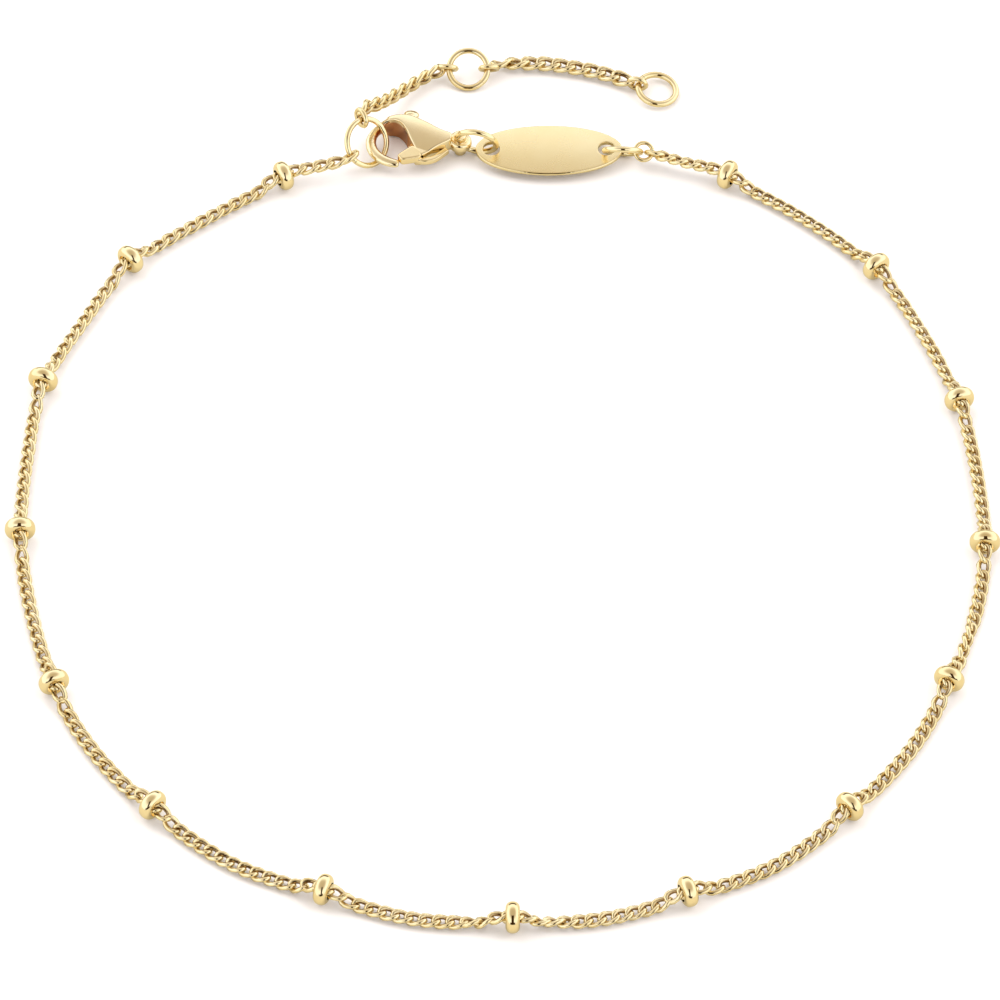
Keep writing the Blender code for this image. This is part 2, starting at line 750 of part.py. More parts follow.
clear_scene()
polished = metal("polished_gold_plate", (0.86, 0.66, 0.36), 0.16)
satin = metal("satin_gold_plate", (0.86, 0.68, 0.4), 0.32)
line, along, stations = chain_line()
make_chain(line, along, stations, polished)
make_beads(line, along, stations, polished)
make_ring("clasp_ring", clasp_ring_place, clasp_ring_diameter, ring_wire, ring_sides, polished)
make_ring("tag_ring", tag_ring_place, tag_ring_diameter, ring_wire, ring_sides, polished)
make_ring("chain_ring", from_far_hole(chain_ring_offset), chain_ring_diameter, ring_wire, ring_sides, polished)
make_ring("extender_middle_ring", middle_ring_place, extender_ring_diameter, ring_wire, ring_sides, polished)
make_ring("extender_end_ring", end_ring_place, extender_ring_diameter, ring_wire, ring_sides, polished)
round_link_place = from_far_hole(round_link_offset)
make_ring("round_link", round_link_place, round_link_diameter, round_link_wire, link_sides, polished)
clasp_end = (clasp_ring_place, clasp_ring_diameter, ring_wire)
middle_end = (middle_ring_place, extender_ring_diameter, ring_wire)
free_end = (end_ring_place, extender_ring_diameter, ring_wire)
make_link_run("extender_first_chain", extender_first_route, clasp_end, middle_end, polished)
make_link_run("extender_second_chain", extender_second_route, middle_end, free_end, polished)
make_tag(satin)
make_clasp_body(satin)
make_lever(satin)
settle()
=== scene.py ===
import math
import random

import bpy
import numpy as np
from mathutils import Matrix, Vector


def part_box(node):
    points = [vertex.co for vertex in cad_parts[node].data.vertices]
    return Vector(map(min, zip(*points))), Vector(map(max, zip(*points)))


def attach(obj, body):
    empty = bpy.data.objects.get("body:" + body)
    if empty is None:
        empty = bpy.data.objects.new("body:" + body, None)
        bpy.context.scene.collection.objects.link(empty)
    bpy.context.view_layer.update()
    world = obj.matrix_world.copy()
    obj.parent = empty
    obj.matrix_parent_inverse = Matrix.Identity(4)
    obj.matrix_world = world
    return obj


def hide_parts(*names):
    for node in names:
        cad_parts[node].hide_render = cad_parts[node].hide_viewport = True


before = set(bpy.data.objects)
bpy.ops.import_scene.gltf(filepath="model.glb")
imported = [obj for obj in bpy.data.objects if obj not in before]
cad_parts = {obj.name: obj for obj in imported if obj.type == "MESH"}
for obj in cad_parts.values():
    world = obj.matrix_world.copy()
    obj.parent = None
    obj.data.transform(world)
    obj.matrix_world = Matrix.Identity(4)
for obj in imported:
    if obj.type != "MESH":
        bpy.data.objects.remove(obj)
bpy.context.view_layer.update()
mm = 0.001

# the anklet is drawn in millimetres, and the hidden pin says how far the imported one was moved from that
pinDrawnAt = (-5.60, 33.95, 0.40)
pinLow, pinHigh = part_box("clasp_pin")
settled = Vector((
    (pinLow.x + pinHigh.x) / 2 - pinDrawnAt[0] * mm,
    (pinLow.y + pinHigh.y) / 2 - pinDrawnAt[1] * mm,
    pinLow.z - pinDrawnAt[2] * mm,
))


def drawn(x, y, z=0.0):
    return Vector((x, y, z)) * mm + settled


def selectOnly(item):
    bpy.ops.object.select_all(action="DESELECT")
    item.select_set(True)
    bpy.context.view_layer.objects.active = item


def enterEdit(item, mode="VERT"):
    selectOnly(item)
    bpy.ops.object.mode_set(mode="EDIT")
    bpy.ops.mesh.select_mode(type=mode)
    bpy.ops.mesh.select_all(action="DESELECT")


def leaveEdit():
    bpy.ops.object.mode_set(mode="OBJECT")


def closeEdit(merge=0.0):
    # points within so many millimetres are merged, and every face is turned outward
    bpy.ops.mesh.select_all(action="SELECT")
    if merge:
        bpy.ops.mesh.remove_doubles(threshold=merge * mm)
    bpy.ops.mesh.normals_make_consistent(inside=False)
    leaveEdit()


def applyModifiers(item):
    selectOnly(item)
    for modifier in list(item.modifiers):
        bpy.ops.object.modifier_apply(modifier=modifier.name)


def placeMesh(item, matrix=None):
    # the place goes into the mesh, and the object stays at the origin
    if matrix is not None:
        item.matrix_world = matrix
    selectOnly(item)
    bpy.ops.object.transform_apply(location=True, rotation=True, scale=True)


def smoothShade(item, degrees):
    selectOnly(item)
    bpy.ops.object.shade_smooth_by_angle(angle=math.radians(degrees))


def clamp(value):
    return min(max(value, 0.0), 1.0)


def ease(value):
    # from 0 to 1 with a soft start and end
    share = clamp(value)
    return share * share * (3 - 2 * share)


def addValues(item, name, values):
    # one number for each point, for the finish to read
    kept = item.data.attributes.new(name, "FLOAT", "POINT")
    kept.data.foreach_set("value", values)


def finishPiece(item, name, material, nodes, body="root"):
    item.name = name
    item.data.name = name
    item.data.materials.clear()
    item.data.materials.append(material)
    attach(item, body)
    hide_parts(*nodes)


# the camera, as the photograph was taken
camera = {"elevation": 52.0, "distance": 0.5, "sensor": 36.0, "lens": 241.2, "clip": (0.01, 20.0)}


def addCamera():
    e = math.radians(camera["elevation"])
    away = Vector((0.0, -math.cos(e), math.sin(e))) * camera["distance"]
    bpy.ops.object.camera_add(location=settled + away, rotation=(math.radians(90.0) - e, 0.0, 0.0))
    eye = bpy.context.object
    eye.data.sensor_width = camera["sensor"]
    eye.data.lens = camera["lens"]
    eye.data.clip_start, eye.data.clip_end = camera["clip"]
    bpy.context.scene.camera = eye


addCamera()
print("camera placed")


# shader building blocks
def addGroup(name, inputs, outputs):
    tree = bpy.data.node_groups.new(name, "ShaderNodeTree")
    for socket, kind, value in inputs:
        made = tree.interface.new_socket(socket, in_out="INPUT", socket_type=kind)
        made.default_value = value
    for socket, kind in outputs:
        tree.interface.new_socket(socket, in_out="OUTPUT", socket_type=kind)
    return tree, tree.nodes.new("NodeGroupInput"), tree.nodes.new("NodeGroupOutput")


def addNode(tree, kind, **settings):
    node = tree.nodes.new(kind)
    for key, value in settings.items():
        setattr(node, key, value)
    return node


def addNoise(tree, size, detail, roughness=0.5):
    # noise in the object's own space, with its scale from a socket
    place = addNode(tree, "ShaderNodeTexCoord")
    noise = addNode(tree, "ShaderNodeTexNoise")
    noise.inputs["Detail"].default_value = detail
    noise.inputs["Roughness"].default_value = roughness
    tree.links.new(place.outputs["Object"], noise.inputs["Vector"])
    tree.links.new(size, noise.inputs["Scale"])
    return noise.outputs["Fac"]


def addRange(tree, value, source, result=(0.0, 1.0), curve="LINEAR"):
    made = addNode(tree, "ShaderNodeMapRange", interpolation_type=curve)
    for socket, level in zip(("From Min", "From Max", "To Min", "To Max"), (*source, *result)):
        made.inputs[socket].default_value = level
    tree.links.new(value, made.inputs["Value"])
    return made.outputs["Result"]


def addMask(tree, value, start, end):
    # rises smoothly from 0 at start to 1 at end
    return addRange(tree, value, (start, end), curve="SMOOTHSTEP")


def addMath(tree, operation, first, second=None, clamped=False):
    made = addNode(tree, "ShaderNodeMath", operation=operation, use_clamp=clamped)
    for number, value in enumerate((first, second)):
        if isinstance(value, (int, float)):
            made.inputs[number].default_value = value
        elif value is not None:
            tree.links.new(value, made.inputs[number])
    return made.outputs["Value"]


def addMix(tree, factor, first, second, blend="MIX"):
    mix = addNode(tree, "ShaderNodeMix", data_type="RGBA", blend_type=blend)
    tree.links.new(factor, mix.inputs["Factor"])
    for name, value in (("A", first), ("B", second)):
        if isinstance(value, tuple):
            mix.inputs[name].default_value = (*value, 1.0)
        else:
            tree.links.new(value, mix.inputs[name])
    return mix.outputs["Result"]


# gold plate over brass: soft clouds of thin and thick plating, and hair-fine marks of tumbling and handling
plateClouds = {"thin": (0.9, 0.7, 0.4, 1.0), "thick": (0.9, 0.65, 0.3, 1.0), "size": 300.0, "tone": 0.5,
               "detail": 3.0, "spread": (0.3, 0.7)}
plateMarks = {"grain": 4000.0, "grainDetail": 2.0, "scuff": 900.0, "scuffDetail": 4.0, "scuffRoughness": 0.65,
              "spots": (0.52, 0.72), "depth": 0.02}


def plateToneGroup():
    # the plating's colour; a tone over or under the middle one shifts it to thick or thin
    tree, given, out = addGroup(
        "plateTone",
        [("Thin", "NodeSocketColor", plateClouds["thin"]), ("Thick", "NodeSocketColor", plateClouds["thick"]),
         ("Cloud Size", "NodeSocketFloat", plateClouds["size"]), ("Tone", "NodeSocketFloat", plateClouds["tone"])],
        [("Color", "NodeSocketColor")],
    )
    cloud = addNoise(tree, given.outputs["Cloud Size"], plateClouds["detail"])
    shift = addMath(tree, "SUBTRACT", given.outputs["Tone"], plateClouds["tone"])
    mask = addMath(tree, "ADD", addRange(tree, cloud, plateClouds["spread"]), shift, clamped=True)
    tree.links.new(addMix(tree, mask, given.outputs["Thin"], given.outputs["Thick"]), out.inputs["Color"])
    return tree


def handlingGroup():
    # the grain's height for a Bump node, and a mask of scuffed spots
    tree, given, out = addGroup(
        "handling",
        [("Grain", "NodeSocketFloat", plateMarks["grain"]), ("Scuff Size", "NodeSocketFloat", plateMarks["scuff"])],
        [("Height", "NodeSocketFloat"), ("Scuffs", "NodeSocketFloat")],
    )
    grain = addNoise(tree, given.outputs["Grain"], plateMarks["grainDetail"])
    scuff = addNoise(tree, given.outputs["Scuff Size"], plateMarks["scuffDetail"], plateMarks["scuffRoughness"])
    tree.links.new(grain, out.inputs["Height"])
    tree.links.new(addRange(tree, scuff, plateMarks["spots"]), out.inputs["Scuffs"])
    return tree


plateTone = plateToneGroup()
handling = handlingGroup()

# colours of thin and thick plating, cloud size, roughness of smooth and scuffed spots, scale of the marks
# inside: the point values that lay on painted shade, and the painted shade's colour; toneFrom: the point values that
# shift the tone
# edge, on satin pieces: the upward part of a normal over which polish turns to satin, and the polish's roughness
finishes = {
    "wireGold": {
        # the links' inner sides get a painted shade, dark brown in the recesses between links
        "inside": ("linkShade", (0.32, 0.18, 0.065)),
        "thin": (0.94, 0.79, 0.49), "thick": (0.88, 0.70, 0.37), "cloud": 500.0,
        "smooth": 0.04, "rough": 0.12, "grain": 5000.0, "scuff": 1200.0, "bump": 0.03, "toneFrom": "linkTone",
    },
    "ringGold": {
        "thin": (0.94, 0.78, 0.47), "thick": (0.88, 0.70, 0.37), "cloud": 350.0,
        "smooth": 0.03, "rough": 0.10, "grain": 5000.0, "scuff": 900.0, "bump": 0.03,
    },
    "beadGold": {
        "thin": (0.94, 0.78, 0.47), "thick": (0.88, 0.69, 0.36), "cloud": 400.0,
        "smooth": 0.03, "rough": 0.09, "grain": 5000.0, "scuff": 900.0, "bump": 0.02,
    },
    "claspGold": {
        # the cavity walls get a painted red-brown shade
        "inside": ("cavityShade", (0.60, 0.27, 0.13)),
        "thin": (0.96, 0.81, 0.52), "thick": (0.91, 0.73, 0.42), "cloud": 300.0,
        "smooth": 0.21, "rough": 0.28, "grain": 4000.0, "scuff": 700.0, "bump": 0.06,
        "edge": (0.80, 0.95, 0.06),
    },
    "leverGold": {
        "thin": (0.94, 0.77, 0.46), "thick": (0.88, 0.68, 0.35), "cloud": 300.0,
        "smooth": 0.06, "rough": 0.16, "grain": 4000.0, "scuff": 700.0, "bump": 0.04,
    },
    "tagGold": {
        "thin": (0.94, 0.78, 0.46), "thick": (0.88, 0.70, 0.37), "cloud": 200.0,
        "smooth": 0.27, "rough": 0.31, "grain": 4000.0, "scuff": 500.0, "bump": 0.02,
        "edge": (0.88, 0.975, 0.06),
    },
}


def addFinish(name):
    look = finishes[name]
    made = bpy.data.materials.new(name)
    made.use_nodes = True
    tree = made.node_tree
    shader = tree.nodes["Principled BSDF"]
    shader.inputs["Metallic"].default_value = 1.0
    tone = addNode(tree, "ShaderNodeGroup", node_tree=plateTone)
    tone.inputs["Thin"].default_value = (*look["thin"], 1.0)
    tone.inputs["Thick"].default_value = (*look["thick"], 1.0)
    tone.inputs["Cloud Size"].default_value = look["cloud"]
    if "toneFrom" in look:
        own = addNode(tree, "ShaderNodeAttribute", attribute_name=look["toneFrom"])
        tree.links.new(own.outputs["Fac"], tone.inputs["Tone"])
    plating = tone.outputs["Color"]
    if "inside" in look:
        # painted shade: a dark red-brown is mixed into the plating's colour by the point values, to darken recesses
        # and cavity walls
        values, paintedShadeColour = look["inside"]
        shade = addNode(tree, "ShaderNodeAttribute", attribute_name=values)
        plating = addMix(tree, shade.outputs["Fac"], plating, paintedShadeColour)
    tree.links.new(plating, shader.inputs["Base Color"])
    marks = addNode(tree, "ShaderNodeGroup", node_tree=handling)
    marks.inputs["Grain"].default_value = look["grain"]
    marks.inputs["Scuff Size"].default_value = look["scuff"]
    gloss = addRange(tree, marks.outputs["Scuffs"], (0.0, 1.0), (look["smooth"], look["rough"]))
    if "edge" in look:
        # level faces are satin, and what turns away from level was polished on the wheel
        start, end, polish = look["edge"]
        facing = addNode(tree, "ShaderNodeNewGeometry")
        parts = addNode(tree, "ShaderNodeSeparateXYZ")
        tree.links.new(facing.outputs["Normal"], parts.inputs["Vector"])
        blend = addNode(tree, "ShaderNodeMix", data_type="FLOAT")
        blend.inputs["A"].default_value = polish
        tree.links.new(addMask(tree, parts.outputs["Z"], start, end), blend.inputs["Factor"])
        tree.links.new(gloss, blend.inputs["B"])
        gloss = blend.outputs["Result"]
    tree.links.new(gloss, shader.inputs["Roughness"])
    bump = addNode(tree, "ShaderNodeBump")
    bump.inputs["Strength"].default_value = look["bump"]
    bump.inputs["Distance"].default_value = plateMarks["depth"] * mm
    tree.links.new(marks.outputs["Height"], bump.inputs["Height"])
    tree.links.new(bump.outputs["Normal"], shader.inputs["Normal"])
    return made


gold = {name: addFinish(name) for name in finishes}
print("finishes made:", len(gold))


# the chain's line, in millimetres: plan, and "bead" where one is threaded
chainRows = [
    (-11.45, 32.43, ""), (-12.40, 32.00, ""), (-14.40, 31.55, ""), (-16.71, 30.98, "bead"),
    (-22.60, 27.15, ""), (-28.33, 22.50, "bead"), (-31.65, 16.95, ""), (-34.50, 10.67, "bead"),
    (-35.40, 3.70, ""), (-35.60, -3.64, "bead"), (-34.60, -10.45, ""), (-32.50, -17.74, "bead"),
    (-29.40, -23.55, ""), (-24.94, -28.73, "bead"), (-19.30, -33.30, ""), (-12.60, -36.05, "bead"),
    (-6.10, -38.15, ""), (0.85, -38.47, "bead"), (7.25, -38.15, ""), (13.38, -36.23, "bead"),
    (19.90, -33.40, ""), (25.15, -28.81, "bead"), (29.70, -23.40, ""), (32.73, -17.47, "bead"),
    (34.95, -11.10, ""), (35.92, -4.86, "bead"), (35.65, 2.00, ""), (34.60, 8.74, "bead"),
    (32.10, 15.70, ""), (28.80, 21.80, "bead"), (23.45, 27.10, ""), (17.56, 31.10, "bead"),
    (14.90, 32.00, ""), (13.20, 32.55, ""), (11.75, 33.05, ""),
]
# the extender's two stretches: plan, height, roll in degrees
extenderRows = {
    "first": [
        (-10.72, 35.09, 2.84, 82.0), (-10.72, 35.85, 2.95, 84.0), (-10.25, 36.70, 2.70, 90.0),
        (-9.55, 37.40, 2.20, 94.0), (-8.70, 38.50, 1.55, 96.0), (-7.70, 39.70, 1.08, 96.0),
        (-6.50, 40.90, 0.84, 98.0), (-5.15, 41.85, 0.84, 100.0), (-3.98, 42.20, 0.95, 100.0),
    ],
    "second": [
        (-0.98, 42.20, 0.95, 105.0), (0.00, 42.75, 0.82, 125.0), (0.95, 43.02, 0.60, 150.0),
        (3.50, 43.02, 0.56, 182.0), (5.90, 42.60, 0.56, 182.0), (7.85, 42.10, 0.56, 182.0),
        (9.80, 41.28, 0.60, 188.0), (10.84, 40.80, 0.72, 165.0),
    ],
}
# split rings: centre in millimetres, elevation and bearing of the axis in degrees, outer diameter and wire,
# and the angle round the ring where it is split
rings = {
    "clasp_ring": {"place": (-10.33, 33.86, 1.72, 40.5, 46.5), "across": 4.05, "wire": 0.44, "split": 200.0},
    "tag_ring": {"place": (-1.81, 33.92, 1.71, -13.0, -11.0), "across": 3.52, "wire": 0.48, "split": 250.0},
    "chain_ring": {"place": (9.51, 33.22, 1.38, -34.5, -3.0), "across": 3.27, "wire": 0.47, "split": 250.0},
    "extender_middle_ring": {
        "place": (-2.48, 42.11, 0.95, 62.0, 0.0), "across": 3.48, "wire": 0.48, "split": -45.0,
    },
    "extender_end_ring": {
        "place": (12.30, 40.40, 0.50, 82.0, 78.0), "across": 3.48, "wire": 0.50, "split": 60.0,
    },
    "round_link": {"place": (11.14, 33.22, 1.36, 55.0, 12.0), "across": 1.68, "wire": 0.32, "split": 0.0},
}


def ringMatrix(place):
    x, y, z, elevation, bearing = place
    up, side = math.radians(elevation), math.radians(bearing)
    axis = Vector((math.cos(up) * math.sin(side), -math.cos(up) * math.cos(side), math.sin(up)))
    level = Vector((math.cos(side), math.sin(side), 0.0))
    turn = Matrix((level, axis.cross(level), axis)).transposed().to_4x4()
    return Matrix.Translation(drawn(x, y, z)) @ turn


def smoothLine(rows, count, fineness=40):
    # a smooth curve through the rows, as so many points at even spacing, and its length
    rows = np.array(rows, float)
    rows = np.vstack([2 * rows[0] - rows[1], rows, 2 * rows[-1] - rows[-2]])
    fine = []
    for i in range(1, len(rows) - 2):
        p0, p1, p2, p3 = rows[i - 1:i + 3]
        for t in np.linspace(0.0, 1.0, fineness, endpoint=False):
            fine.append(0.5 * (2 * p1 + (p2 - p0) * t + (2 * p0 - 5 * p1 + 4 * p2 - p3) * t**2
                               + (3 * p1 - p0 - 3 * p2 + p3) * t**3))
    fine.append(rows[-2])
    fine = np.array(fine)
    along = np.concatenate([[0.0], np.cumsum(np.linalg.norm(np.diff(fine[:, :3], axis=0), axis=1))])
    even = np.linspace(0.0, along[-1], count)
    return np.column_stack([np.interp(even, along, fine[:, k]) for k in range(rows.shape[1])]), along[-1]


# split rings of round wire: a disc spun round, with its two ends left a hair apart
ringMake = {"section": 16, "steps": 96, "gap": 0.03, "smooth": 40.0}


def addRing(name):
    ring = rings[name]
    radius = (ring["across"] - ring["wire"]) / 2 * mm
    bpy.ops.mesh.primitive_circle_add(
        vertices=ringMake["section"], radius=ring["wire"] / 2 * mm, fill_type="NGON",
        location=(radius, 0.0, 0.0), rotation=(math.radians(90.0), 0.0, 0.0),
    )
    item = bpy.context.object
    placeMesh(item)
    enterEdit(item)
    bpy.ops.mesh.select_all(action="SELECT")
    sweep = 2 * math.pi - ringMake["gap"] * mm / radius
    bpy.ops.mesh.spin(steps=ringMake["steps"], angle=sweep, center=(0.0, 0.0, 0.0), axis=(0.0, 0.0, 1.0))
    closeEdit()
    placeMesh(item, ringMatrix(ring["place"]) @ Matrix.Rotation(math.radians(ring["split"]), 4, "Z"))
    smoothShade(item, ringMake["smooth"])
    finishPiece(item, "ring_of_" + name, gold["ringGold"], [name])


for ringName in rings:
    addRing(ringName)
print("split rings:", len(rings))


# curb links: an oval of wire turned from end to end
linkShape = {
    "pitch": 1.0, "width": 1.18, "wire": 0.40, "turn": -112.0, "quarter": 4, "section": 1, "smooth": 75.0,
    "endWidth": 1.5, "play": 0.12, "merge": 0.0001,
    "shadeFrom": 0.78, "shadeOver": 0.32,  # where the painted shade starts and over how much it sets in
    "extender": 1.16,  # the extender's links are this much heavier
    "follow": 0.75,  # how much of a change in spacing goes into a link's own length
    "tone": (0.35, 0.65),
}


def modelLink(length, width, turn):
    # one oval of wire about the origin, its length along X: points in metres, faces and painted shade
    wire = linkShape["wire"] * mm
    bpy.ops.curve.primitive_bezier_circle_add(radius=1.0)
    oval = bpy.context.object
    oval.data.resolution_u = linkShape["quarter"]
    bpy.ops.object.mode_set(mode="EDIT")
    bpy.ops.curve.select_all(action="SELECT")
    bpy.ops.transform.resize(value=((length * mm - wire) / 2, (width * mm - wire) / 2, 1.0))
    leaveEdit()
    oval.data.bevel_depth = wire / 2
    oval.data.bevel_resolution = linkShape["section"]
    selectOnly(oval)
    bpy.ops.object.convert(target="MESH")
    oval = bpy.context.object
    if turn:
        twist = oval.modifiers.new("turn", "SIMPLE_DEFORM")
        twist.deform_method = "TWIST"
        twist.deform_axis = "X"
        twist.angle = math.radians(turn)
        applyModifiers(oval)
    enterEdit(oval)
    closeEdit(linkShape["merge"])
    points = np.empty(len(oval.data.vertices) * 3)
    oval.data.vertices.foreach_get("co", points)
    faces = np.array([list(face.vertices) for face in oval.data.polygons])
    bpy.data.objects.remove(oval, do_unlink=True)
    points = points.reshape(-1, 3)
    # painted shade: 1 on the inner side of the wire, to darken the recesses where the links lie in each other
    reach = np.hypot(points[:, 0] / (length / 2), np.hypot(points[:, 1], points[:, 2]) / (width / 2)) / mm
    shade = np.clip((linkShape["shadeFrom"] - reach) / linkShape["shadeOver"], 0.0, 1.0)
    return points, faces, shade


def joinCopies(name, copies, tones):
    # copies are (points, faces, painted shade, matrix); each copy keeps its own tone for the plating
    allPoints, allFaces, allShades, allTones = [], [], [], []
    start = 0
    for (points, faces, shade, matrix), tone in zip(copies, tones):
        turn = np.array(matrix)
        allPoints.append(points @ turn[:3, :3].T + turn[:3, 3])
        allFaces.append(faces + start)
        allShades.append(shade)
        allTones.append(np.full(len(points), tone))
        start += len(points)
    mesh = bpy.data.meshes.new(name)
    mesh.from_pydata(np.vstack(allPoints).tolist(), [], np.vstack(allFaces).tolist())
    item = bpy.data.objects.new(name, mesh)
    bpy.context.collection.objects.link(item)
    addValues(item, "linkTone", np.concatenate(allTones))
    # the painted shade on the links' inner sides, for the finish to read
    addValues(item, "linkShade", np.concatenate(allShades))
    smoothShade(item, linkShape["smooth"])
    return item


def framedAt(point, direction, roll):
    x = direction.normalized()
    y = Vector((0.0, 0.0, 1.0)).cross(x).normalized()
    turn = Matrix((x, y, x.cross(y))).transposed().to_4x4()
    return Matrix.Translation(point) @ turn @ Matrix.Rotation(math.radians(roll), 4, "X")


def hookOn(ring, near, ahead, length):
    # the link that holds a split ring: across the ring's wire, heading along the chain
    where = ringMatrix(ring["place"])
    inside = where.inverted() @ near
    angle = math.atan2(inside.y, inside.x)
    reach = (ring["across"] - ring["wire"]) / 2 * mm
    seat = where @ (Vector((math.cos(angle), math.sin(angle), 0.0)) * reach)
    wire = where.to_3x3() @ Vector((-math.sin(angle), math.cos(angle), 0.0))
    x = (ahead - wire * wire.dot(ahead)).normalized()
    turn = Matrix((x, wire.cross(x), wire)).transposed().to_4x4()
    inner = length / 2 - linkShape["wire"] - ring["wire"] / 2 - linkShape["play"]
    return Matrix.Translation(seat + x * inner * mm) @ turn


def linkScale(spacing):
    return 1 + linkShape["follow"] * (spacing - 1)


fullLength = linkShape["pitch"] + 2 * linkShape["wire"]
curbLink = modelLink(fullLength, linkShape["width"], linkShape["turn"])
endLink = modelLink(fullLength, linkShape["endWidth"], 0.0)
rough = random.Random(5)

chainLay = {
    "height": 0.46, "beadHeight": 1.175, "startHeight": 1.72, "endHeight": 1.36,
    "slope": (0.75, 2.4),  # where the chain starts down from a bead and where it lies flat
    "sway": 5.0, "sideRoll": (32.0, 22.0),  # the chain's own roll on the left and right sides
    "lift": 0.14, "liftFrom": 2.0,  # how much a turned link stands higher, and how far from a bead
    "endRingWire": 0.44, "fineness": 1600,
}
# stretches where the links stand on edge: bead number, millimetres past it, half length, roll
turnedStretches = [(8, -2.2, 1.4, -34.0), (8, 2.4, 1.6, -38.0), (11, 4.0, 1.8, 48.0), (15, 4.0, 2.6, 18.0)]
turnedFade = 1.4  # a stretch's turn ends this many half lengths from its middle
# from the end of the line to the middle of the first link that hangs on a ring
endReach = fullLength / 2 - linkShape["wire"] - chainLay["endRingWire"] / 2 - linkShape["play"]


def chainLine():
    line, length = smoothLine([(x, y, 0.0) for x, y, _ in chainRows], chainLay["fineness"])
    along = np.linspace(0.0, length, len(line))
    stations = []
    for x, y, kind in chainRows:
        if kind == "bead":
            stations.append(along[np.argmin(np.hypot(line[:, 0] - x, line[:, 1] - y))])
    low, high = chainLay["height"], chainLay["beadHeight"]
    flat, gone = chainLay["slope"]
    for i, s in enumerate(along):
        near = min(abs(s - station) for station in stations)
        height = high + (low - high) * ease((near - flat) / (gone - flat))
        if s < stations[0]:
            height = high + (chainLay["startHeight"] - high) * (1 - s / stations[0])
        if s > stations[-1]:
            height = high + (chainLay["endHeight"] - high) * (s - stations[-1]) / (length - stations[-1])
        line[i, 2] = height
    return line, along, stations


def onLine(line, along, s):
    return drawn(*[float(np.interp(s, along, line[:, k])) for k in range(3)])


def rollAt(s, stations):
    total = 0.0
    for bead, past, half, roll in turnedStretches:
        total += roll * ease(turnedFade - abs(s - stations[bead - 1] - past) / half)
    return total


def addLoop():
    line, along, stations = chainLine()
    length = along[-1]
    ends = [endReach] + stations + [length - endReach]
    places = []
    for a, b in zip(ends, ends[1:]):
        count = max(round((b - a) / linkShape["pitch"]), 1)
        places += list(np.linspace(a, b, count, endpoint=False))
    places.append(ends[-1])
    copies, tones = [], []
    for i, s in enumerate(places):
        before = places[max(i - 1, 0)]
        after = places[min(i + 1, len(places) - 1)]
        ahead = onLine(line, along, after) - onLine(line, along, before)
        if i == 0:
            copies.append((*endLink, hookOn(rings["clasp_ring"], onLine(line, along, 0.0), ahead, fullLength)))
        elif i == len(places) - 1:
            copies.append((*endLink, hookOn(rings["round_link"], onLine(line, along, length), -ahead, fullLength)))
        else:
            point = onLine(line, along, s)
            turned = rollAt(s, stations)
            roll = turned + rough.uniform(-1, 1) * chainLay["sway"]
            roll += chainLay["sideRoll"][0 if point.x < 0 else 1] * ahead.normalized().y ** 2
            apart = min(abs(s - station) for station in stations)
            if apart > chainLay["liftFrom"] and stations[0] < s < stations[-1]:
                point.z += chainLay["lift"] * abs(math.sin(math.radians(turned))) * mm
            stretch = linkScale((after - before) / 2 / linkShape["pitch"])
            copies.append((*curbLink, framedAt(point, ahead, roll) @ Matrix.Diagonal((stretch, 1.0, 1.0, 1.0))))
        tones.append(rough.uniform(*linkShape["tone"]))
    item = joinCopies("curb_links", copies, tones)
    finishPiece(item, "curb_links", gold["wireGold"], ["chain"])
    print("links in the loop:", len(copies))
    return line, along, stations


def addExtender(name, rows, firstRing, lastRing, node):
    line, length = smoothLine(rows, extenderFineness)
    along = np.linspace(0.0, length, len(line))
    heavy = linkShape["extender"]
    count = round((length - 2 * endReach) / (linkShape["pitch"] * heavy))
    pitch = (length - 2 * endReach) / count
    stretch = heavy * linkScale(pitch / heavy)
    copies, tones = [], []
    for i in range(count + 1):
        s = endReach + pitch * i
        if i == 0:
            near = onLine(line, along, 0.0)
            copies.append((*endLink, hookOn(firstRing, near, onLine(line, along, s + pitch) - near, fullLength)))
        elif i == count:
            near = onLine(line, along, length)
            copies.append((*endLink, hookOn(lastRing, near, onLine(line, along, s - pitch) - near, fullLength)))
        else:
            ahead = onLine(line, along, s + pitch / 3) - onLine(line, along, s - pitch / 3)
            roll = float(np.interp(s, along, line[:, 3])) + rough.uniform(-1, 1) * chainLay["sway"]
            place = framedAt(onLine(line, along, s), ahead, roll)
            copies.append((*curbLink, place @ Matrix.Diagonal((stretch, heavy, heavy, 1.0))))
        tones.append(rough.uniform(*linkShape["tone"]))
    item = joinCopies(name, copies, tones)
    finishPiece(item, name, gold["wireGold"], [node])
    print("links in", name + ":", len(copies))


extenderFineness = 400
chainPath, chainAlong, beadStations = addLoop()
addExtender("extender_links_near", extenderRows["first"], rings["clasp_ring"], rings["extender_middle_ring"],
            "extender_first_chain")
addExtender("extender_links_far", extenderRows["second"], rings["extender_middle_ring"], rings["extender_end_ring"],
            "extender_second_chain")


# rondelle beads: a drum with fat shoulders, bored through
beadShape = {
    "across": 2.29, "thick": 1.04, "bore": 1.30, "sides": 48, "shoulder": 0.46, "shoulderSteps": 8,
    "smooth": 35.0, "roll": 7.5,
}
hair = 0.01  # in millimetres, what counts as level or as no width at all


